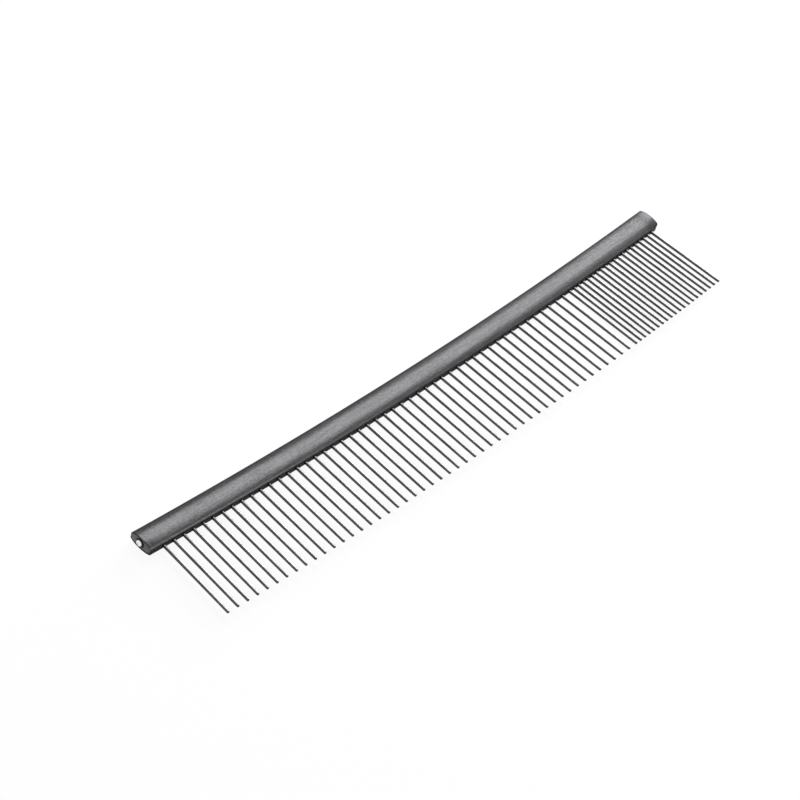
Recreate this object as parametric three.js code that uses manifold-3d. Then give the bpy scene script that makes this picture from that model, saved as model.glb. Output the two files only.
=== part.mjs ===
// Steel grooming comb for dogs and cats, in millimetres.
// X runs along the spine from the coarse end to the fine end, the teeth point along -Y,
// and Z is up from the surface that the comb lies on.
import * as THREE from 'three';
import { mergeVertices } from 'three/addons/utils/BufferGeometryUtils.js';
import Module from 'manifold-3d';

const wasm = await Module();
wasm.setup();

// Spine: a flattened oval tube, bowed in its own plane so that its middle stands towards the teeth
const SPINE_LENGTH = 248.4;
const SPINE_WIDTH = 9.1;
const SPINE_THICKNESS = 4.7;
const SPINE_WALL = 0.7;
const SPINE_BOW = 3.5;
const BACK_LAND = 2.3;
const LAND_LIP = 0.8;
const REST_FLAT = 1.2;
const EDGE_CHAMFER = 0.35;
const SPINE_SEGMENTS = 25;
const ARC_FACETS = 4;

// Teeth: one row of round pins, wide apart first and then close together
const COARSE_TEETH = 49;
const FINE_TEETH = 19;
const FINE_PITCH = 2.52;
const COARSE_END_MARGIN = 5.5;
const FINE_END_MARGIN = 4.1;
const TOOTH_REACH = 31.5;
const TOOTH_DIAMETER = 1.2;
const TIP_DIAMETER = 1.0;
const ROOT_CHAMFER = 0.15;
const TOOTH_SIDES = 8;

// Bars inside the tube that hold the roots of the teeth
const BAR_SETBACK = 2.6;
const BAR_DEPTH = 4.8;
const SOCKET_DEPTH = 3.6;

// End plugs and the rivets that pin them to the bars
const PLUG_LENGTH = 1.7;
const RIVET_HEAD_DIAMETER = 2.3;
const RIVET_HEAD_HEIGHT = 0.7;
const RIVET_SHANK_DIAMETER = 1.3;
const RIVET_GRIP = 1;
const RIVET_SIDES = 16;

// Clearances between pieces that fit into one another
const TOOTH_CLEARANCE = 0.06;
const ROOT_CLEARANCE = 0.1;
const BAR_CLEARANCE = 0.15;
const BAR_END_GAP = 0.2;
const PLUG_CLEARANCE = 0.1;
const RIVET_CLEARANCE = 0.06;

// Corners of a piece closer than this are one corner
const CORNER_GRID = 1e-4;

// Sizes that follow from those above
const FRONT_LAND = TOOTH_DIAMETER + 2 * LAND_LIP;
const FRONT_Y = (TOOTH_REACH - SPINE_WIDTH - SPINE_BOW) / 2;
const MIDDLE_Z = SPINE_THICKNESS / 2;
const NEAR_X = -SPINE_LENGTH / 2;
const FAR_X = SPINE_LENGTH / 2;
const FIRST_TOOTH_X = NEAR_X + COARSE_END_MARGIN;
const LAST_COARSE_X = FAR_X - FINE_END_MARGIN - FINE_TEETH * FINE_PITCH;
const COARSE_PITCH = (LAST_COARSE_X - FIRST_TOOTH_X) / (COARSE_TEETH - 1);
const BAR_JOINT_X = LAST_COARSE_X + FINE_PITCH / 2;
const ROOT_LENGTH = BAR_SETBACK + SOCKET_DEPTH - ROOT_CLEARANCE;

const satinSpine = new THREE.MeshStandardMaterial({ color: 0x6a6a6c, roughness: 0.45, metalness: 0.9 });
const innerSteel = new THREE.MeshStandardMaterial({ color: 0x9a9a9c, roughness: 0.5, metalness: 1 });
const plugSteel = new THREE.MeshStandardMaterial({ color: 0x58585a, roughness: 0.5, metalness: 0.9 });
const brightRivet = new THREE.MeshStandardMaterial({ color: 0xd8d8da, roughness: 0.2, metalness: 1 });
const polishedSteel = new THREE.MeshStandardMaterial({ color: 0xb4b4b6, roughness: 0.22, metalness: 1 });

const comb = new THREE.Group();

function addPiece(name, geometry, material, place = new THREE.Vector3(), turn = 0) {
  const mesh = new THREE.Mesh(geometry, material);
  mesh.name = name;
  mesh.position.copy(place);
  mesh.rotation.z = turn;
  comb.add(mesh);
}

// Where the front face of the bowed spine lies, at a place along its length
function frontFace(x) {
  return FRONT_Y + SPINE_BOW * (x / FAR_X) ** 2;
}

// Angle that the bow turns the spine by there, so that each tooth stands square to it
function spineTurn(x) {
  return Math.atan(2 * SPINE_BOW * x / FAR_X ** 2);
}

// A closed body from a geometry: corners that share a place on a fine grid become one corner
function toSolid(geometry) {
  const bare = geometry.clone();
  bare.deleteAttribute('normal');
  bare.deleteAttribute('uv');
  const places = bare.attributes.position.array;
  places.forEach((value, index) => {
    places[index] = Math.round(value / CORNER_GRID) * CORNER_GRID;
  });
  const merged = mergeVertices(bare, CORNER_GRID / 10);
  const vertProperties = new Float32Array(merged.attributes.position.array);
  const corners = Array.from(merged.index.array);
  const triVerts = [];
  for (let first = 0; first < corners.length; first += 3) {
    const [a, b, c] = corners.slice(first, first + 3);
    if (a !== b && b !== c && c !== a) triVerts.push(a, b, c);
  }
  const mesh = new wasm.Mesh({ numProp: 3, vertProperties, triVerts: new Uint32Array(triVerts) });
  return new wasm.Manifold(mesh);
}

function toGeometry(solid) {
  const mesh = solid.getMesh();
  const geometry = new THREE.BufferGeometry();
  geometry.setAttribute('position', new THREE.BufferAttribute(new Float32Array(mesh.vertProperties), 3));
  geometry.setIndex(new THREE.BufferAttribute(new Uint32Array(mesh.triVerts), 1));
  geometry.computeVertexNormals();
  return geometry;
}

// Half the thickness of a piece that is set in from the spine's surface, at a depth behind its front
function halfThickness(depth, inset) {
  const land = (depth < SPINE_WIDTH / 2 ? FRONT_LAND : BACK_LAND) / 2;
  const arc = (SPINE_WIDTH - REST_FLAT) / 2;
  const along = Math.max(0, Math.abs(depth - SPINE_WIDTH / 2) - REST_FLAT / 2) / arc;
  const drop = MIDDLE_Z - land;
  return MIDDLE_Z - drop * along ** 2 - inset * Math.hypot(1, 2 * drop * along / arc);
}

// Closed outline of a section between two depths, crowned above and below, flat in the middle
function crownedOutline(front, back, inset, chamfer = 0) {
  const flatStart = (SPINE_WIDTH - REST_FLAT) / 2;
  const depths = [];
  for (let facet = 0; facet <= ARC_FACETS; facet += 1) {
    depths.push(THREE.MathUtils.lerp(front + chamfer, flatStart, facet / ARC_FACETS));
  }
  for (let facet = 0; facet <= ARC_FACETS; facet += 1) {
    depths.push(THREE.MathUtils.lerp(flatStart + REST_FLAT, back - chamfer, facet / ARC_FACETS));
  }
  const top = depths.map((depth) => new THREE.Vector2(depth, halfThickness(depth, inset)));
  if (chamfer > 0) {
    top.unshift(new THREE.Vector2(front, halfThickness(front, inset) - chamfer));
    top.push(new THREE.Vector2(back, halfThickness(back, inset) - chamfer));
  }
  const bottom = top.map((point) => new THREE.Vector2(point.x, -point.y));
  return new THREE.Shape([...bottom, ...top.reverse()]);
}

// A section drawn out along the spine, following its bow
function alongSpine(outline, startX, endX) {
  const geometry = new THREE.ExtrudeGeometry(outline, {
    depth: endX - startX,
    steps: Math.ceil(SPINE_SEGMENTS * (endX - startX) / SPINE_LENGTH),
    bevelEnabled: false,
  });
  const depthAxis = new THREE.Vector3(0, 1, 0);
  const upAxis = new THREE.Vector3(0, 0, 1);
  const lengthAxis = new THREE.Vector3(1, 0, 0);
  geometry.applyMatrix4(new THREE.Matrix4().makeBasis(depthAxis, upAxis, lengthAxis));
  geometry.translate(startX, 0, MIDDLE_Z);
  const points = geometry.attributes.position;
  for (let index = 0; index < points.count; index += 1) {
    points.setY(index, points.getY(index) + frontFace(points.getX(index)));
  }
  return geometry;
}

// A pin turned about the Y axis, from a list of its radii and places along it
function turnedPin(profile, sides) {
  const points = profile.map(([radius, along]) => new THREE.Vector2(radius, along));
  return new THREE.LatheGeometry(points, sides);
}

// Tooth with its mouth at the origin, its root along +Y and its rounded tip along -Y
function toothGeometry() {
  const root = TOOTH_DIAMETER / 2;
  const tip = TIP_DIAMETER / 2;
  const diagonal = tip * Math.SQRT1_2;
  return turnedPin([
    [0, -TOOTH_REACH],
    [diagonal, tip - diagonal - TOOTH_REACH],
    [tip, tip - TOOTH_REACH],
    [root, 0],
    [root, ROOT_LENGTH - ROOT_CHAMFER],
    [root - ROOT_CHAMFER, ROOT_LENGTH],
    [0, ROOT_LENGTH],
  ], TOOTH_SIDES);
}

// Plain cylinder for the hole of a tooth, between two depths behind the front of the spine
function toothHole(fromDepth, toDepth) {
  const radius = TOOTH_DIAMETER / 2 + TOOTH_CLEARANCE;
  return turnedPin([[0, fromDepth], [radius, fromDepth], [radius, toDepth], [0, toDepth]], TOOTH_SIDES);
}

function toothPlace(x) {
  return new THREE.Vector3(x, frontFace(x), MIDDLE_Z);
}

// A tooth or its hole, set square to the spine at a place along it
function atTooth(solid, x) {
  const turn = THREE.MathUtils.radToDeg(spineTurn(x));
  return solid.rotate([0, 0, turn]).translate(toothPlace(x).toArray());
}

const coarseX = Array.from({ length: COARSE_TEETH }, (_, index) => FIRST_TOOTH_X + index * COARSE_PITCH);
const fineX = Array.from({ length: FINE_TEETH }, (_, index) => LAST_COARSE_X + (index + 1) * FINE_PITCH);

// Spine tube: the dark outer shell, with a hole in its front land for every tooth
const tubeOutline = crownedOutline(0, SPINE_WIDTH, 0, EDGE_CHAMFER);
tubeOutline.holes.push(crownedOutline(SPINE_WALL, SPINE_WIDTH - SPINE_WALL, SPINE_WALL));
const tubeBlank = toSolid(alongSpine(tubeOutline, NEAR_X, FAR_X));
const wallHole = toSolid(toothHole(-SPINE_WALL, BAR_SETBACK));
const tube = [...coarseX, ...fineX].reduce((body, x) => body.subtract(atTooth(wallHole, x)), tubeBlank);
addPiece('spine_tube', toGeometry(tube), satinSpine);

// Rivet: a domed head on the end face, and a shank through the plug into the middle of the bar's end
const rivetReach = PLUG_LENGTH + BAR_END_GAP + RIVET_GRIP;

function rivetGeometry() {
  const head = RIVET_HEAD_DIAMETER / 2;
  const shank = RIVET_SHANK_DIAMETER / 2;
  const profile = [[0, -rivetReach], [shank, -rivetReach], [shank, 0], [head, 0]];
  for (const share of [0.9, 0.65, 0.35]) {
    profile.push([head * share, RIVET_HEAD_HEIGHT * Math.sqrt(1 - share ** 2)]);
  }
  profile.push([0, RIVET_HEAD_HEIGHT]);
  return turnedPin(profile, RIVET_SIDES);
}

function rivetHole() {
  const radius = RIVET_SHANK_DIAMETER / 2 + RIVET_CLEARANCE;
  const depth = rivetReach + ROOT_CLEARANCE;
  return turnedPin([[0, -depth], [radius, -depth], [radius, depth], [0, depth]], RIVET_SIDES);
}

function rivetPlace(side) {
  const barMiddle = frontFace(FAR_X) + BAR_SETBACK + BAR_DEPTH / 2;
  return new THREE.Vector3(side * FAR_X, barMiddle, MIDDLE_Z);
}

function drillEnd(solid, side) {
  const drill = toSolid(rivetHole().rotateZ(-side * Math.PI / 2));
  return solid.subtract(drill.translate(rivetPlace(side).toArray()));
}

// End plugs: short pieces that close the tube, flush with its ends
const plugInset = SPINE_WALL + PLUG_CLEARANCE;
const plugOutline = crownedOutline(plugInset, SPINE_WIDTH - plugInset, plugInset);
for (const [end, side] of [['coarse_end', -1], ['fine_end', 1]]) {
  const startX = side < 0 ? NEAR_X : FAR_X - PLUG_LENGTH;
  const plug = drillEnd(toSolid(alongSpine(plugOutline, startX, startX + PLUG_LENGTH)), side);
  addPiece(`${end}_plug`, toGeometry(plug), plugSteel);
  addPiece(`${end}_rivet`, rivetGeometry(), brightRivet, rivetPlace(side), -side * Math.PI / 2);
}

// Coarse bar: the inner steel bar with a blind socket for the root of each coarse tooth
const barInset = SPINE_WALL + BAR_CLEARANCE;
const barOutline = crownedOutline(BAR_SETBACK, BAR_SETBACK + BAR_DEPTH, barInset);
const barNearX = NEAR_X + PLUG_LENGTH + BAR_END_GAP;
const barFarX = FAR_X - PLUG_LENGTH - BAR_END_GAP;
const coarseBlank = toSolid(alongSpine(barOutline, barNearX, BAR_JOINT_X - BAR_END_GAP / 2));
const socket = toSolid(toothHole(0, BAR_SETBACK + SOCKET_DEPTH));
const coarseBar = coarseX.reduce((body, x) => body.subtract(atTooth(socket, x)), drillEnd(coarseBlank, -1));
addPiece('coarse_tooth_bar', toGeometry(coarseBar), innerSteel);

// Coarse teeth: separate polished pins, each with its root in a socket of the bar
coarseX.forEach((x, index) => {
  const name = `coarse_tooth_${String(index + 1).padStart(2, '0')}`;
  addPiece(name, toothGeometry(), polishedSteel, toothPlace(x), spineTurn(x));
});

// Fine strip: the fine teeth and the short bar that carries them, joined as one piece
const fineTooth = toSolid(toothGeometry());
const fineBlank = toSolid(alongSpine(barOutline, BAR_JOINT_X + BAR_END_GAP / 2, barFarX));
const fineStrip = fineX.reduce((body, x) => body.add(atTooth(fineTooth, x)), drillEnd(fineBlank, 1));
addPiece('fine_tooth_strip', toGeometry(fineStrip), polishedSteel);

export default comb;
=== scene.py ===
# Steel grooming comb: a dark satin spine, gently bowed, with one row of long polished teeth.
# It lies flat. Its spine runs along X from the coarse end to the fine end, and its teeth point
# along -Y. Everything is in metres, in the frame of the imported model.
import math

import bpy
from mathutils import Matrix, Vector


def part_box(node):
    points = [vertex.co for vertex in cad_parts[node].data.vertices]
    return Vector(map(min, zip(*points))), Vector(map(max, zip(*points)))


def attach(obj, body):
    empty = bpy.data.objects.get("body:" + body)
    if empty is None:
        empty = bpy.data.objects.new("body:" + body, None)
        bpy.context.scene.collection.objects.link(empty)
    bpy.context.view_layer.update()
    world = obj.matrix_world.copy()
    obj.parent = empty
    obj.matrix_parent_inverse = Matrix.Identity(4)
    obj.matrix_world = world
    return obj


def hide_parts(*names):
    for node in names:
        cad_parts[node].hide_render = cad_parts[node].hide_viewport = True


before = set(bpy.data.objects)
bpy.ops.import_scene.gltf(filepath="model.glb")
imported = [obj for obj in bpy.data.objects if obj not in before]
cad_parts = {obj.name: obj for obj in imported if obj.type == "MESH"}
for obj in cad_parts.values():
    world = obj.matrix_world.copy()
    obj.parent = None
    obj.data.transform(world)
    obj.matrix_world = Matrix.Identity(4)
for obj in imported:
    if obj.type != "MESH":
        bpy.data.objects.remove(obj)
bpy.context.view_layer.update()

MM = 0.001
scene = bpy.context.scene

# Camera: a long lens that looks down on the comb from beyond its coarse end and its teeth,
# rolled a little, so that the spine climbs from the lower left to the upper right.
CAMERA_TARGET = Vector((-14.23, 10.68, 2.35)) * MM
CAMERA_AZIMUTH = math.radians(-57.42)
CAMERA_ELEVATION = math.radians(46.654)
CAMERA_ROLL = math.radians(15.9)
CAMERA_DISTANCE = 882.3 * MM
LENS_MM = 119.73
NEAREST_SEEN = 10 * MM

camera_back = Vector((
    math.sin(CAMERA_AZIMUTH) * math.cos(CAMERA_ELEVATION),
    -math.cos(CAMERA_AZIMUTH) * math.cos(CAMERA_ELEVATION),
    math.sin(CAMERA_ELEVATION),
))
camera_data = bpy.data.cameras.new("camera")
camera_data.lens = LENS_MM
camera_data.clip_start = NEAREST_SEEN
camera = bpy.data.objects.new("camera", camera_data)
scene.collection.objects.link(camera)
camera.location = CAMERA_TARGET + camera_back * CAMERA_DISTANCE
camera.rotation_mode = "QUATERNION"
level_turn = (-camera_back).to_track_quat("-Z", "Y")
camera.rotation_quaternion = level_turn @ Matrix.Rotation(CAMERA_ROLL, 3, "Z").to_quaternion()
scene.camera = camera
scene.view_settings.view_transform = "Standard"

# Floor and room: a plain pale floor that is white to the camera and in reflections and keeps a
# soft shadow, in a plain white room.
FLOOR_SIZE = 8.0
FLOOR_COLOUR = (0.9, 0.9, 0.9, 1)
FLOOR_WHITENING = 0.93
ROOM_LEVEL = 0.15


def seen_share(nodes, links):
    """1 for camera, glossy and transmission rays, and 0 for the rays that light the object."""
    path = nodes.new("ShaderNodeLightPath")
    share = path.outputs["Is Camera Ray"]
    for ray in ("Is Glossy Ray", "Is Transmission Ray"):
        largest = nodes.new("ShaderNodeMath")
        largest.operation = "MAXIMUM"
        links.new(share, largest.inputs[0])
        links.new(path.outputs[ray], largest.inputs[1])
        share = largest.outputs["Value"]
    return share


bpy.ops.object.select_all(action="DESELECT")
bpy.ops.mesh.primitive_plane_add(size=FLOOR_SIZE, location=(0, 0, 0))
floor = bpy.context.object
floor.name = "floor"
floor_paint = bpy.data.materials.new("floor_paint")
floor_paint.use_nodes = True
nodes, links = floor_paint.node_tree.nodes, floor_paint.node_tree.links
nodes.clear()
lit = nodes.new("ShaderNodeBsdfDiffuse")
lit.inputs["Color"].default_value = FLOOR_COLOUR
white = nodes.new("ShaderNodeEmission")
amount = nodes.new("ShaderNodeMath")
amount.operation = "MULTIPLY"
amount.inputs[1].default_value = FLOOR_WHITENING
blend = nodes.new("ShaderNodeMixShader")
surface = nodes.new("ShaderNodeOutputMaterial")
links.new(seen_share(nodes, links), amount.inputs[0])
links.new(amount.outputs["Value"], blend.inputs["Fac"])
links.new(lit.outputs["BSDF"], blend.inputs[1])
links.new(white.outputs["Emission"], blend.inputs[2])
links.new(blend.outputs["Shader"], surface.inputs["Surface"])
floor.data.materials.append(floor_paint)

room = bpy.data.worlds.new("room")
scene.world = room
room.use_nodes = True
nodes, links = room.node_tree.nodes, room.node_tree.links
strength = nodes.new("ShaderNodeMapRange")
strength.inputs["To Min"].default_value = ROOM_LEVEL
strength.inputs["To Max"].default_value = 1.0
links.new(seen_share(nodes, links), strength.inputs["Value"])
nodes["Background"].inputs["Color"].default_value = (1, 1, 1, 1)
links.new(strength.outputs["Result"], nodes["Background"].inputs["Strength"])

# Lamps: a soft box high behind the fine end, which gives the crown of the spine its soft sheen,
# and two panels beyond the fine end, a low one, which whitens one flank of every tooth, and a
# higher one, which whitens that flank right up to the land.
SOFT_BOX_PLACE = (0.72, 0.54, 1.2)
SOFT_BOX_SIZE = (1.1, 0.85)
SOFT_BOX_POWER = 18.3
SIDE_PANEL_PLACE = (1.45, 0.5, 0.34)
SIDE_PANEL_SIZE = (1.15, 0.65)
SIDE_PANEL_POWER = 54
ROOT_PANEL_PLACE = (1.25, 0.52, 0.65)
ROOT_PANEL_SIZE = (0.18, 0.3)
ROOT_PANEL_POWER = 4.4


def soft_lamp(name, place, size, power):
    lamp = bpy.data.lights.new(name, "AREA")
    lamp.shape = "RECTANGLE"
    lamp.size, lamp.size_y = size
    lamp.energy = power
    stand = bpy.data.objects.new(name, lamp)
    scene.collection.objects.link(stand)
    stand.location = place
    stand.rotation_mode = "QUATERNION"
    stand.rotation_quaternion = (-Vector(place)).to_track_quat("-Z", "Y")
    return stand


soft_lamp("soft_box", SOFT_BOX_PLACE, SOFT_BOX_SIZE, SOFT_BOX_POWER)
soft_lamp("side_panel", SIDE_PANEL_PLACE, SIDE_PANEL_SIZE, SIDE_PANEL_POWER)
soft_lamp("root_panel", ROOT_PANEL_PLACE, ROOT_PANEL_SIZE, ROOT_PANEL_POWER)

# Spine tube: drawn dark steel of flattened oval section, crowned above and below, with narrow
# upright lands along its front and back. It is bowed in its own plane and bead blasted to a
# satin, and the holes for the teeth are drilled through its front land, which is left matt.
SPINE_WIDTH = 9.1 * MM
SPINE_WALL = 0.7 * MM
FRONT_LAND = 2.8 * MM
BACK_LAND = 2.3 * MM
REST_FLAT = 1.2 * MM
EDGE_ROUND = 0.35 * MM
EDGE_ROUND_STEPS = 3
SHARP_ANGLE = math.radians(40)
SPINE_COLUMNS = 24
SPINE_RINGS = 62
SPINE_SMOOTH = 32
FINE_TEETH = 19
COARSE_TEETH = 49
FINE_PITCH = 2.52 * MM
COARSE_END_MARGIN = 5.5 * MM
FINE_END_MARGIN = 4.1 * MM
TOOTH_RADIUS = 0.6 * MM
TOOTH_CLEARANCE = 0.06 * MM
HOLE_SIDES = 24
DRILL_LENGTH = 4 * SPINE_WALL
FAR_CORNER_ROUND = 0.9 * MM
QUARTER_TURN = math.radians(90)
SQUARE_ON = 0.9  # cosine beyond which a face or an edge counts as square to an axis
PLACE_DIGITS = 6
SAME_PLACE = 10 ** -PLACE_DIGITS
OUTER_SKIN = 0.3 * MM
END_SKIN = 0.1 * MM
SATIN_DARK = (0.038, 0.038, 0.039)
SATIN_LIGHT = (0.064, 0.064, 0.066)
# The next colour lightens the rubbed band and the painted highlight on the front top edge.
RUBBED_AND_HIGHLIGHT = (0.14, 0.14, 0.142)
BARE_CORNER = (0.13, 0.13, 0.13)
# The next colour darkens the rim at the coarse end, and is painted shade on the back edge and the
# fine end.
SHADE_AND_RIM_BLACK = (0.012, 0.012, 0.013)
LAND_DARK = (0.004, 0.004, 0.004)
LAND_LIGHT = (0.06, 0.06, 0.061)
# The next colour is a painted highlight at the top of the land, under the front top edge.
LAND_TOP_HIGHLIGHT = (0.09, 0.09, 0.09)
SATIN_TINT = (0.6, 0.6, 0.6, 1)
SATIN_ROUGHNESS = (0.31, 0.36)
SATIN_RELIEF = 0.05 * MM
BLAST_SIZE = 0.7 * MM
BLAST_SHARE = 0.65
CLOUD_SIZE = 7 * MM
DRAWN_SIZE = 0.6 * MM
DRAWN_STRETCH = (0.05, 1, 1)
LAND_GLOSS = 0.08
LAND_ROUGHNESS = (0.66, 0.54)
LAND_RELIEF = 0.03 * MM
LAND_SLOT = 1
LAND_FACING = 0.3
SOOT_SIZE = 0.8 * MM
COLOUR_NOISE = (0.35, 0.65)
ROUGHNESS_NOISE = (0.3, 0.7)

# Where the colour of the spine is lighter or darker. A painted highlight runs along its front top
# edge and fades towards the fine end, and a band on the crown near the coarse end is rubbed
# lighter. The rim at the coarse end is darker, and painted shade lies along the back edge and
# towards the fine end. A line has the places at which it starts, is full, begins to fade and
# ends.
# Heights are above the middle of the thickness.
TOP_EDGE = (0.9 * MM, 1.2 * MM)
EDGE_HIGHLIGHT = (0, 0.15 * MM, 0.45 * MM, 0.7 * MM)
EDGE_HIGHLIGHT_FADE = (-100 * MM, 0.0)
EDGE_HIGHLIGHT_LEFT = 0.2
END_LINE = (0.45 * MM, 0.7 * MM, 1.1 * MM, 1.6 * MM)
END_LINE_SHARE = 0.2
RUBBED_AND_HIGHLIGHT_NOISE = (0.3, 0.6)
RUBBED_AND_HIGHLIGHT_LEAST = 0.5
NEAR_RIM = (0.05 * MM, 0.3 * MM)
FAR_RIM_SHADE = (1.6 * MM, 0.5 * MM)
FAR_SHADE_LENGTH = 7 * MM
FAR_SHADE = 0.8
BACK_EDGE_SHADE = (8.15 * MM, 8.8 * MM)
BARE_LENGTH = (2.6 * MM, 1.8 * MM)
BARE_HEIGHT = (-0.3 * MM, 0.4 * MM)
LAND_TOP_HIGHLIGHT_HEIGHT = (0.6 * MM, 1.3 * MM)

spine_low, spine_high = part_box("spine_tube")
half_length = (spine_high.x - spine_low.x) / 2
half_thickness = (spine_high.z - spine_low.z) / 2
front_y = spine_low.y
middle_z = spine_low.z + half_thickness
spine_bow = spine_high.y - spine_low.y - SPINE_WIDTH


def bow_at(x):
    return spine_bow * (x / half_length) ** 2


def turn_at(x):
    return math.atan(2 * spine_bow * x / half_length ** 2)


def thickness_share(depth):
    """How much of the greatest thickness the spine has at a depth behind its front land."""
    land = FRONT_LAND if depth < SPINE_WIDTH / 2 else BACK_LAND
    arc = (SPINE_WIDTH - REST_FLAT) / 2
    along = max(0.0, abs(depth - SPINE_WIDTH / 2) - REST_FLAT / 2) / arc
    return 1 - (1 - land / (2 * half_thickness)) * along ** 2


def on_outside(corner):
    """Whether a corner of the spine lies on its outer surface."""
    depth = corner.y - front_y - bow_at(corner.x)
    gap = half_thickness * thickness_share(depth) - abs(corner.z - middle_z)
    return min(depth, SPINE_WIDTH - depth, gap) < OUTER_SKIN


def pick(kind, test, among_picked=False):
    """In edit mode, selects the corners, edges or faces that pass the test, and nothing else."""
    bpy.ops.mesh.select_mode(type=kind)
    bpy.ops.object.mode_set(mode="OBJECT")
    mesh = bpy.context.object.data
    parts = {"VERT": mesh.vertices, "EDGE": mesh.edges, "FACE": mesh.polygons}[kind]
    passed = [test(mesh, part) and (part.select or not among_picked) for part in parts]
    bpy.ops.object.mode_set(mode="EDIT")
    bpy.ops.mesh.select_all(action="DESELECT")
    bpy.ops.object.mode_set(mode="OBJECT")
    for part, is_picked in zip(parts, passed):
        part.select = is_picked
    bpy.ops.object.mode_set(mode="EDIT")


def edge_along(axis):
    """A test for the edges that run along one axis, 0 for X, 1 for Y and 2 for Z."""
    def test(mesh, edge):
        first, last = (mesh.vertices[corner].co for corner in edge.vertices)
        return abs((last - first)[axis]) > SQUARE_ON * (last - first).length
    return test


def select_only(piece):
    bpy.ops.object.select_all(action="DESELECT")
    piece.select_set(True)
    bpy.context.view_layer.objects.active = piece


def finish_with(piece, kind, **settings):
    """Adds a modifier with these settings and applies it."""
    select_only(piece)
    modifier = piece.modifiers.new(kind.lower(), kind)
    for name, value in settings.items():
        setattr(modifier, name, value)
    bpy.ops.object.modifier_apply(modifier=modifier.name)


def place_in_mesh(piece):
    select_only(piece)
    bpy.ops.object.transform_apply(location=True, rotation=True, scale=True)


def smooth(piece, degrees):
    select_only(piece)
    bpy.ops.object.shade_smooth_by_angle(angle=math.radians(degrees))


def oval_bar(name, x_from, x_to, inset, columns, rings):
    """A solid of the spine's section, drawn in by the inset all round, on the spine's bow."""
    bpy.ops.object.select_all(action="DESELECT")
    bpy.ops.mesh.primitive_cube_add(size=1)
    bar = bpy.context.object
    bar.name = name
    depth_from, depth_to = inset, SPINE_WIDTH - inset
    bar.scale = (x_to - x_from, depth_to - depth_from, 2 * half_thickness)
    bar.location = ((x_from + x_to) / 2, front_y + SPINE_WIDTH / 2, middle_z)
    place_in_mesh(bar)
    bpy.ops.object.mode_set(mode="EDIT")
    pick("EDGE", edge_along(1))
    bpy.ops.mesh.subdivide(number_cuts=columns - 1)
    if rings > 1:
        pick("EDGE", edge_along(0))
        bpy.ops.mesh.subdivide(number_cuts=rings - 1)
    for column in range(columns + 1):
        depth = depth_from + (depth_to - depth_from) * column / columns
        line = front_y + depth
        share = thickness_share(depth) - inset / half_thickness
        pick("VERT", lambda mesh, corner: abs(corner.co.y - line) < SAME_PLACE)
        bpy.ops.transform.resize(value=(1, 1, share), center_override=(0, line, middle_z))
    for ring in range(rings + 1):
        place = x_from + (x_to - x_from) * ring / rings
        pick("VERT", lambda mesh, corner: abs(corner.co.x - place) < SAME_PLACE)
        bpy.ops.transform.translate(value=(0, bow_at(place), 0))
    return bar


def tooth_places():
    """The distance along the spine of every tooth, from the coarse end to the fine end."""
    first = COARSE_END_MARGIN - half_length
    last_coarse = half_length - FINE_END_MARGIN - FINE_TEETH * FINE_PITCH
    coarse_pitch = (last_coarse - first) / (COARSE_TEETH - 1)
    coarse = [first + coarse_pitch * index for index in range(COARSE_TEETH)]
    fine = [last_coarse + FINE_PITCH * (index + 1) for index in range(FINE_TEETH)]
    return coarse, fine


def set_on_spine(piece, x):
    """Moves a piece modelled square to the origin to its place on the front land."""
    piece.location = (x, front_y + bow_at(x), middle_z)
    piece.rotation_euler = (0, 0, turn_at(x))
    place_in_mesh(piece)


def copy_of(piece, name):
    twin = piece.copy()
    twin.data = piece.data.copy()
    twin.name = name
    scene.collection.objects.link(twin)
    return twin


def join(pieces, name):
    bpy.ops.object.select_all(action="DESELECT")
    for piece in pieces:
        piece.select_set(True)
    bpy.context.view_layer.objects.active = pieces[0]
    bpy.ops.object.join()
    pieces[0].name = name
    return pieces[0]


coarse_places, fine_places = tooth_places()
spine = oval_bar("spine_shell", -half_length, half_length, 0, SPINE_COLUMNS, SPINE_RINGS)
pick("FACE", lambda mesh, face: abs(face.normal.x) > SQUARE_ON)
bpy.ops.mesh.delete(type="ONLY_FACE")
bpy.ops.object.mode_set(mode="OBJECT")
finish_with(spine, "SOLIDIFY", thickness=SPINE_WALL, offset=-1, use_even_offset=True)
far_lines = {round(corner.co.y, PLACE_DIGITS) for corner in spine.data.vertices
             if corner.co.x > half_length - END_SKIN}
bpy.ops.object.mode_set(mode="EDIT")
for line in sorted(far_lines):
    depth = max(0, line - front_y - spine_bow)
    if depth < FAR_CORNER_ROUND:
        inward = FAR_CORNER_ROUND - math.sqrt(depth * (2 * FAR_CORNER_ROUND - depth))
        pick("VERT", lambda mesh, corner: corner.co.x > half_length - END_SKIN and (
            abs(corner.co.y - line) < SAME_PLACE))
        bpy.ops.transform.translate(value=(-inward, 0, 0))
bpy.ops.mesh.select_mode(type="EDGE")
bpy.ops.mesh.select_all(action="DESELECT")
bpy.ops.mesh.edges_select_sharp(sharpness=SHARP_ANGLE)
pick("EDGE", lambda mesh, edge: all(
    on_outside(mesh.vertices[corner].co) for corner in edge.vertices), among_picked=True)
bpy.ops.mesh.bevel(offset=EDGE_ROUND, segments=EDGE_ROUND_STEPS, affect="EDGES")
bpy.ops.object.mode_set(mode="OBJECT")

bpy.ops.object.select_all(action="DESELECT")
bpy.ops.mesh.primitive_cylinder_add(
    vertices=HOLE_SIDES, radius=TOOTH_RADIUS + TOOTH_CLEARANCE, depth=DRILL_LENGTH,
    rotation=(QUARTER_TURN, 0, 0))
drill = bpy.context.object
place_in_mesh(drill)
drills = [copy_of(drill, f"drill_{index}") for index in range(len(coarse_places + fine_places))]
for bit, place in zip(drills, coarse_places + fine_places):
    set_on_spine(bit, place)
bpy.data.objects.remove(drill)
drill_row = join(drills, "drill_row")
finish_with(spine, "BOOLEAN", operation="DIFFERENCE", object=drill_row, solver="EXACT")
bpy.data.objects.remove(drill_row)
smooth(spine, SPINE_SMOOTH)
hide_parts("spine_tube")
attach(spine, "root")


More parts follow.
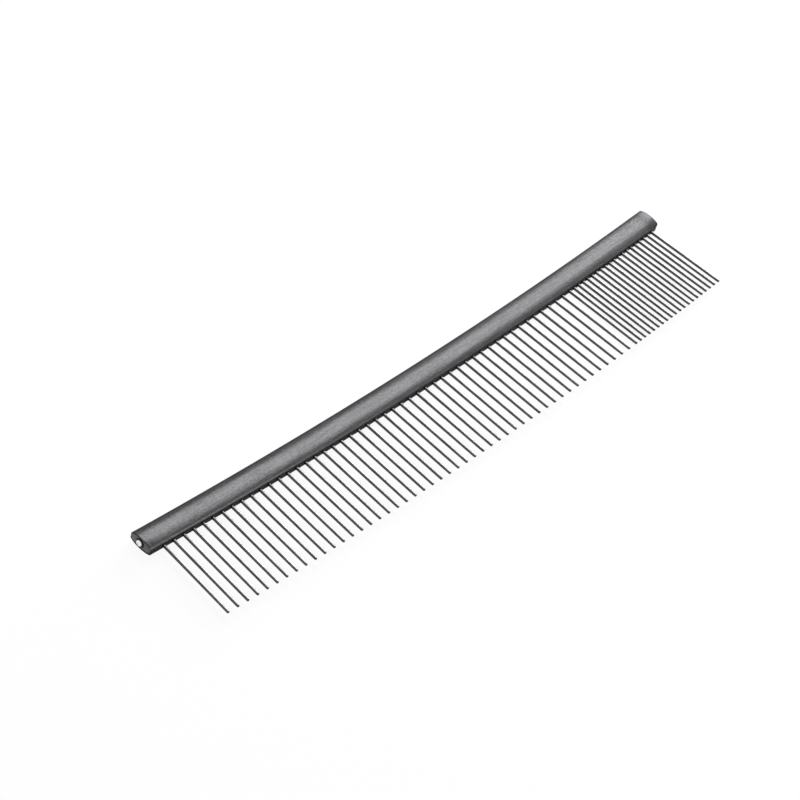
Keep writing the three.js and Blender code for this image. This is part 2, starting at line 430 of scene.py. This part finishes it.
class Steel:
    """A new material, with the node wiring that the finishes of the comb need."""

    def __init__(self, name, metallic=1.0):
        self.material = bpy.data.materials.new(name)
        self.material.use_nodes = True
        self.nodes = self.material.node_tree.nodes
        self.links = self.material.node_tree.links
        self.shader = self.nodes["Principled BSDF"]
        self.shader.inputs["Metallic"].default_value = metallic

    def maths(self, operation, *values):
        node = self.nodes.new("ShaderNodeMath")
        node.operation = operation
        for socket, value in zip(node.inputs, values):
            if isinstance(value, float):
                socket.default_value = value
            else:
                self.links.new(value, socket)
        return node.outputs["Value"]

    def ramp(self, source, low, high, to_low=0.0, to_high=1.0):
        """Maps the range from low to high to another range, held at its ends."""
        node = self.nodes.new("ShaderNodeMapRange")
        for name, value in (("From Min", low), ("From Max", high), ("To Min", to_low),
                            ("To Max", to_high)):
            node.inputs[name].default_value = value
        self.links.new(source, node.inputs["Value"])
        return node.outputs["Result"]

    def band(self, source, start, full, fade, end):
        """1 between full and fade, and 0 before start and after end."""
        rise = self.ramp(source, start, full)
        return self.maths("MULTIPLY", rise, self.ramp(source, fade, end, 1.0, 0.0))

    def point(self):
        return self.nodes.new("ShaderNodeTexCoord").outputs["Object"]

    def axes(self):
        parts = self.nodes.new("ShaderNodeSeparateXYZ")
        self.links.new(self.point(), parts.inputs["Vector"])
        return parts.outputs["X"], parts.outputs["Y"], parts.outputs["Z"]

    def distance_from(self, centre, across):
        """The distance from a line through the centre, measured along the axes marked 1."""
        shifted = self.nodes.new("ShaderNodeVectorMath")
        shifted.operation = "MULTIPLY_ADD"
        shifted.inputs[1].default_value = across
        shifted.inputs[2].default_value = [-c * a for c, a in zip(centre, across)]
        self.links.new(self.point(), shifted.inputs[0])
        span = self.nodes.new("ShaderNodeVectorMath")
        span.operation = "LENGTH"
        self.links.new(shifted.outputs["Vector"], span.inputs[0])
        return span.outputs["Value"]

    def grain(self, size, stretch=(1, 1, 1), detail=2.0):
        """Noise with features of this size, drawn out along an axis by a stretch under 1."""
        scaled = self.nodes.new("ShaderNodeVectorMath")
        scaled.operation = "MULTIPLY"
        scaled.inputs[1].default_value = stretch
        self.links.new(self.point(), scaled.inputs[0])
        noise = self.nodes.new("ShaderNodeTexNoise")
        noise.inputs["Scale"].default_value = 1 / size
        noise.inputs["Detail"].default_value = detail
        self.links.new(scaled.outputs["Vector"], noise.inputs["Vector"])
        return noise.outputs["Fac"]

    def blend(self, share, dark, light):
        """A colour between two others, each of them a colour or the result of a blend."""
        node = self.nodes.new("ShaderNodeMix")
        node.data_type = "RGBA"
        self.links.new(share, node.inputs[0])
        for socket, colour in ((node.inputs[6], dark), (node.inputs[7], light)):
            if isinstance(colour, tuple):
                socket.default_value = (*colour, 1)
            else:
                self.links.new(colour, socket)
        return node.outputs[2]

    def shades(self, noise, dark, light):
        """A colour that a noise mottles from dark to light."""
        return self.blend(self.ramp(noise, *COLOUR_NOISE), dark, light)

    def rough(self, noise, low, high):
        """A roughness that a noise leads from low to high."""
        return self.ramp(noise, *ROUGHNESS_NOISE, low, high)

    def wear(self, colour, roughness, height, depth):
        """Wires colour, roughness and surface height into the shader."""
        self.links.new(colour, self.shader.inputs["Base Color"])
        self.links.new(roughness, self.shader.inputs["Roughness"])
        bump = self.nodes.new("ShaderNodeBump")
        bump.inputs["Distance"].default_value = depth
        self.links.new(height, bump.inputs["Height"])
        self.links.new(bump.outputs["Normal"], self.shader.inputs["Normal"])


def depth_on_spine(steel):
    """X, the depth behind the bowed front land, and Z, of the point that is shaded."""
    x, y, z = steel.axes()
    curve = steel.maths("MULTIPLY", steel.maths("MULTIPLY", x, x), spine_bow / half_length ** 2)
    return x, steel.maths("SUBTRACT", steel.maths("SUBTRACT", y, front_y), curve), z


satin = Steel("satin_gunmetal")
satin.shader.inputs["Specular Tint"].default_value = SATIN_TINT
x, depth, z = depth_on_spine(satin)
blast = satin.grain(BLAST_SIZE)
clouds = satin.grain(CLOUD_SIZE)
drawn = satin.grain(DRAWN_SIZE, DRAWN_STRETCH)
mottle = satin.maths("MULTIPLY_ADD", blast, BLAST_SHARE,
                     satin.maths("MULTIPLY", drawn, 1 - BLAST_SHARE))
top = satin.ramp(z, *(middle_z + height for height in TOP_EDGE))
# Painted highlight along the front top edge, and a rubbed band on the crown near the coarse end.
painted_edge_highlight = satin.band(depth, *EDGE_HIGHLIGHT)
painted_edge_highlight = satin.maths("MULTIPLY", painted_edge_highlight,
                        satin.ramp(x, *EDGE_HIGHLIGHT_FADE, 1.0, EDGE_HIGHLIGHT_LEFT))
end_line = satin.band(x, *(reach - half_length for reach in END_LINE))
rubbed_and_highlight = satin.maths("MAXIMUM", painted_edge_highlight, satin.maths("MULTIPLY", end_line, END_LINE_SHARE))
rubbed_and_highlight = satin.maths("MULTIPLY", satin.maths("MULTIPLY", rubbed_and_highlight, top),
                     satin.ramp(blast, *RUBBED_AND_HIGHLIGHT_NOISE, RUBBED_AND_HIGHLIGHT_LEAST, 1.0))
# Darker rim at the coarse end, and painted shade towards the fine end and along the back edge.
near_rim = satin.ramp(x, *(reach - half_length for reach in NEAR_RIM), 1.0, 0.0)
far_end_shade = satin.maths("MAXIMUM", satin.ramp(x, *(half_length - reach for reach in FAR_RIM_SHADE)),
                      satin.ramp(x, half_length - FAR_SHADE_LENGTH, half_length, 0.0, FAR_SHADE))
dark_rim_and_painted_shade = satin.maths("MAXIMUM", satin.ramp(depth, *BACK_EDGE_SHADE),
                        satin.maths("MAXIMUM", near_rim, far_end_shade))
metal = satin.shades(mottle, SATIN_DARK, SATIN_LIGHT)
metal = satin.blend(rubbed_and_highlight, metal, RUBBED_AND_HIGHLIGHT)
metal = satin.blend(dark_rim_and_painted_shade, metal, SHADE_AND_RIM_BLACK)
satin.wear(metal, satin.rough(clouds, *SATIN_ROUGHNESS), mottle, SATIN_RELIEF)

land = Steel("matt_land")
land.shader.inputs["Specular IOR Level"].default_value = LAND_GLOSS
x, depth, z = depth_on_spine(land)
soot = land.grain(SOOT_SIZE)
bare = land.maths("MULTIPLY", land.ramp(x, *(half_length - reach for reach in BARE_LENGTH)),
                  land.ramp(z, *(middle_z + height for height in BARE_HEIGHT), 1.0, 0.0))
land.links.new(bare, land.shader.inputs["Metallic"])
black = land.shades(soot, LAND_DARK, LAND_LIGHT)
# Painted highlight: the top of the land is lighter, under the front top edge.
land_top_highlight = land.ramp(z, *(middle_z + height for height in LAND_TOP_HIGHLIGHT_HEIGHT))
black = land.blend(land_top_highlight, black, LAND_TOP_HIGHLIGHT)
land.wear(land.blend(bare, black, BARE_CORNER), land.rough(soot, *LAND_ROUGHNESS),
          soot, LAND_RELIEF)
spine.data.materials.append(satin.material)
spine.data.materials.append(land.material)
for face in spine.data.polygons:
    face.material_index = 0
select_only(spine)
bpy.ops.object.mode_set(mode="EDIT")
spine.active_material_index = LAND_SLOT
pick("FACE", lambda mesh, face: face.normal.y < -LAND_FACING and face.normal.z < LAND_FACING and (
    face.center.y < front_y + bow_at(face.center.x) + EDGE_ROUND))
bpy.ops.object.material_slot_assign()
bpy.ops.object.mode_set(mode="OBJECT")

# End plugs: a steel block of the tube's inner section, pressed into each end and ground flush
# together with the rim of the tube. Painted shade darkens the lower edge of the ends, and a
# painted shadow lies round the rivet head, off its centre towards the top and the front.
PLUG_INSET = 0.8 * MM
PLUG_LENGTH = 1.7 * MM
PLUG_COLUMNS = 18
PLUG_EDGE = 0.05 * MM
PLUG_EDGE_STEPS = 2
PLUG_EDGE_ANGLE = math.radians(60)
RIVET_DEPTH = 5 * MM
LAND_DROP = 1.07 * MM
# The lower edge of each end is darkened with painted shade over this band of height.
LOWER_EDGE_SHADE = (0.9 * MM, 1.3 * MM)
RIVET_RADIUS = 1.15 * MM
# The painted shadow round the rivet head is shifted off its centre, and reaches past the head by
# a margin.
RIVET_SHADOW_SHIFT_Y = -0.4 * MM
RIVET_SHADOW_SHIFT_Z = 0.45 * MM
RIVET_SHADOW_MARGIN = (0.5 * MM, 0.7 * MM)
PLUG_DARK = (0.09, 0.09, 0.092)
PLUG_LIGHT = (0.16, 0.16, 0.162)
# The black of the painted shade and the painted shadow on the ends.
PLUG_SHADE_BLACK = (0.004, 0.004, 0.004)
PLUG_ROUGHNESS = (0.4, 0.55)
PLUG_RELIEF = 0.02 * MM
PLUG_SLOT = 2
GROUND_SIZE = 0.3 * MM
GROUND_STRETCH = (1, 0.15, 1)
PATCH_SIZE = 2.5 * MM

plug_steel = Steel("ground_plug")
ground = plug_steel.grain(GROUND_SIZE, GROUND_STRETCH)
patches = plug_steel.grain(PATCH_SIZE)
rivet_y = front_y + spine_bow + RIVET_DEPTH
# Painted shadow: a black disc round the rivet head, off its centre.
rivet_shadow_centre = (0, rivet_y + RIVET_SHADOW_SHIFT_Y, middle_z + RIVET_SHADOW_SHIFT_Z)
painted_rivet_shadow = plug_steel.ramp(plug_steel.distance_from(rivet_shadow_centre, (0, 1, 1)),
                         *(RIVET_RADIUS + margin for margin in RIVET_SHADOW_MARGIN), 1.0, 0.0)
x, depth, z = depth_on_spine(plug_steel)
along = plug_steel.ramp(plug_steel.maths("ABSOLUTE", plug_steel.maths(
    "SUBTRACT", depth, SPINE_WIDTH / 2)), REST_FLAT / 2, SPINE_WIDTH / 2)
drop = plug_steel.maths("MULTIPLY", plug_steel.maths("MULTIPLY", along, along), LAND_DROP)
# Painted shade: the ends are darker along their lower edge.
from_lower_edge = plug_steel.maths("SUBTRACT", z, plug_steel.maths(
    "ADD", drop, middle_z - half_thickness))
lower_edge_shade = plug_steel.ramp(from_lower_edge, *LOWER_EDGE_SHADE, 1.0, 0.0)
plug_metal = plug_steel.shades(patches, PLUG_DARK, PLUG_LIGHT)
plug_metal = plug_steel.blend(lower_edge_shade, plug_metal, PLUG_SHADE_BLACK)
plug_steel.wear(plug_steel.blend(painted_rivet_shadow, plug_metal, PLUG_SHADE_BLACK),
                plug_steel.rough(ground, *PLUG_ROUGHNESS), ground, PLUG_RELIEF)
spine.data.materials.append(plug_steel.material)
select_only(spine)
bpy.ops.object.mode_set(mode="EDIT")
spine.active_material_index = PLUG_SLOT
pick("FACE", lambda mesh, face: abs(face.normal.x) > SQUARE_ON and (
    abs(face.center.x) > half_length - FAR_CORNER_ROUND))
bpy.ops.object.material_slot_assign()
bpy.ops.object.mode_set(mode="OBJECT")
for name, x_from in (("coarse_end", -half_length), ("fine_end", half_length - PLUG_LENGTH)):
    plug = oval_bar(name + "_cap", x_from, x_from + PLUG_LENGTH, PLUG_INSET, PLUG_COLUMNS, 1)
    bpy.ops.object.mode_set(mode="OBJECT")
    finish_with(plug, "BEVEL", width=PLUG_EDGE, segments=PLUG_EDGE_STEPS,
                limit_method="ANGLE", angle_limit=PLUG_EDGE_ANGLE)
    smooth(plug, SPINE_SMOOTH)
    plug.data.materials.append(plug_steel.material)
    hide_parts(name + "_plug")
    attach(plug, "root")

# End rivets: a bright nickelled pin driven through each plug into the middle of the bar, with a
# domed head that carries the dull dimple of the punch at its top, painted grey as a dark
# reflection.
RIVET_HEIGHT = 0.7 * MM
RIVET_SHANK_RADIUS = 0.65 * MM
RIVET_REACH = 2.9 * MM
RIVET_SIDES = 40
RIVET_STEPS = 6
RIVET_SMOOTH = 45
DIMPLE_RADIUS = 0.28 * MM
DIMPLE_DEPTH = 0.08 * MM
DIMPLE_FLOOR = 0.4
DIMPLE_FADE = 1.25
NICKEL = (0.86, 0.86, 0.86)
NICKEL_WORN = (0.78, 0.78, 0.78)
NICKEL_ROUGHNESS = (0.08, 0.16)
NICKEL_RELIEF = 0.004 * MM
# The grey of the dimple is a painted dark reflection.
DIMPLE_REFLECTION_GREY = (0.3, 0.3, 0.3)
DIMPLE_ROUGHNESS = 0.3
SCRATCH_SIZE = 0.2 * MM
SCRATCH_STRETCH = (1, 0.3, 1)


def stretch_end(step, radius_ratio):
    """Extrudes the end face by a step along Y and resizes it about that axis."""
    bpy.ops.mesh.extrude_region_move(TRANSFORM_OT_translate={"value": (0, step, 0)})
    bpy.ops.transform.resize(value=(radius_ratio, 1, radius_ratio), center_override=(0, 0, 0))


def dome_end(height, last_angle, steps):
    """Closes the end face with a dome that would have this height if it were whole."""
    for step in range(1, steps + 1):
        before, after = (last_angle * part / steps for part in (step - 1, step))
        rise = height * (math.sin(before) - math.sin(after))
        stretch_end(rise, math.cos(after) / math.cos(before))


def round_bar(name, radius, y_from, y_to, sides):
    bpy.ops.object.select_all(action="DESELECT")
    bpy.ops.mesh.primitive_cylinder_add(
        vertices=sides, radius=radius, depth=y_to - y_from,
        location=(0, (y_from + y_to) / 2, 0), rotation=(QUARTER_TURN, 0, 0))
    bar = bpy.context.object
    bar.name = name
    place_in_mesh(bar)
    return bar


nickel = Steel("rivet_nickel")
scratches = nickel.grain(SCRATCH_SIZE, SCRATCH_STRETCH)
dimple = nickel.ramp(nickel.distance_from((0, rivet_y, middle_z), (0, 1, 1)),
                     DIMPLE_RADIUS, DIMPLE_FADE * DIMPLE_RADIUS, 1.0, 0.0)
shine = nickel.shades(scratches, NICKEL_WORN, NICKEL)
# The dimple is painted grey, a painted dark reflection, and made rougher.
nickel.wear(nickel.blend(dimple, shine, DIMPLE_REFLECTION_GREY),
            nickel.maths("ADD", nickel.rough(scratches, *NICKEL_ROUGHNESS),
                         nickel.maths("MULTIPLY", dimple, DIMPLE_ROUGHNESS)),
            scratches, NICKEL_RELIEF)
for name, side in (("coarse_end", -1), ("fine_end", 1)):
    rivet = round_bar(name + "_pin", RIVET_SHANK_RADIUS, 0, RIVET_REACH, RIVET_SIDES)
    bpy.ops.object.mode_set(mode="EDIT")
    pick("FACE", lambda mesh, face: face.normal.y < -SQUARE_ON)
    stretch_end(0, RIVET_RADIUS / RIVET_SHANK_RADIUS)
    dome_end(RIVET_HEIGHT, math.acos(DIMPLE_RADIUS / RIVET_RADIUS), RIVET_STEPS)
    stretch_end(DIMPLE_DEPTH, DIMPLE_FLOOR)
    bpy.ops.object.mode_set(mode="OBJECT")
    smooth(rivet, RIVET_SMOOTH)
    rivet.location = (side * half_length, rivet_y, middle_z)
    rivet.rotation_euler = (0, 0, side * QUARTER_TURN)
    place_in_mesh(rivet)
    rivet.data.materials.append(nickel.material)
    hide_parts(name + "_rivet")
    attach(rivet, "root")

# Tooth bar: the plain milled steel bar inside the tube that carries the roots of the coarse
# teeth. It is held by the plugs and the rivets, and none of it shows.
BAR_DARK = (0.26, 0.26, 0.26)
BAR_LIGHT = (0.36, 0.36, 0.36)
BAR_ROUGHNESS = (0.35, 0.5)
BAR_RELIEF = 0.03 * MM
MILLING_SIZE = 0.6 * MM
MILLING_STRETCH = (0.08, 1, 1)

bar_steel = Steel("milled_bar")
milling = bar_steel.grain(MILLING_SIZE, MILLING_STRETCH)
bar_steel.wear(bar_steel.shades(milling, BAR_DARK, BAR_LIGHT),
               bar_steel.rough(milling, *BAR_ROUGHNESS), milling, BAR_RELIEF)
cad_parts["coarse_tooth_bar"].data.materials.clear()
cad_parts["coarse_tooth_bar"].data.materials.append(bar_steel.material)

# Teeth: polished steel pins, a little tapered, with a rounded tip and a chamfered root. Each
# passes through its hole in the land into the bar behind it, and bears fine lengthwise polish.
TIP_RADIUS = 0.5 * MM
TOOTH_REACH = 31.5 * MM
ROOT_LENGTH = 6.1 * MM
ROOT_CHAMFER = 0.15 * MM
PIN_SIDES = 24
PIN_SMOOTH = 40
TIP_STEPS = 5
TIP_ANGLE = math.radians(85)
PIN_DARK = (0.064, 0.064, 0.065)
PIN_LIGHT = (0.086, 0.086, 0.088)
PIN_ROUGHNESS = (0.11, 0.19)
PIN_RELIEF = 0.004 * MM
POLISH_SIZE = 0.25 * MM
POLISH_STRETCH = (1, 0.04, 1)
STAIN_SIZE = 4 * MM

pin_steel = Steel("polished_pin")
polish = pin_steel.grain(POLISH_SIZE, POLISH_STRETCH)
stains = pin_steel.grain(STAIN_SIZE)
pin_steel.wear(pin_steel.shades(stains, PIN_DARK, PIN_LIGHT),
               pin_steel.rough(polish, *PIN_ROUGHNESS), polish, PIN_RELIEF)


def make_pin(name):
    pin = round_bar(name, TOOTH_RADIUS, 0, ROOT_LENGTH - ROOT_CHAMFER, PIN_SIDES)
    bpy.ops.object.mode_set(mode="EDIT")
    pick("FACE", lambda mesh, face: face.normal.y > SQUARE_ON)
    stretch_end(ROOT_CHAMFER, 1 - ROOT_CHAMFER / TOOTH_RADIUS)
    pick("FACE", lambda mesh, face: face.normal.y < -SQUARE_ON)
    stretch_end(TIP_RADIUS - TOOTH_REACH, TIP_RADIUS / TOOTH_RADIUS)
    dome_end(TIP_RADIUS, TIP_ANGLE, TIP_STEPS)
    bpy.ops.object.mode_set(mode="OBJECT")
    smooth(pin, PIN_SMOOTH)
    pin.data.materials.append(pin_steel.material)
    return pin


pattern = make_pin("pin")
for number, place in enumerate(coarse_places, start=1):
    tooth = copy_of(pattern, f"coarse_pin_{number:02d}")
    set_on_spine(tooth, place)
    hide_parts(f"coarse_tooth_{number:02d}")
    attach(tooth, "root")

fine_pins = []
for number, place in enumerate(fine_places, start=1):
    tooth = copy_of(pattern, f"fine_pin_{number:02d}")
    set_on_spine(tooth, place)
    fine_pins.append(tooth)
fine_row = join(fine_pins, "fine_tooth_row")
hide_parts("fine_tooth_strip")
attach(fine_row, "root")
bpy.data.objects.remove(pattern)

bpy.context.view_layer.update()
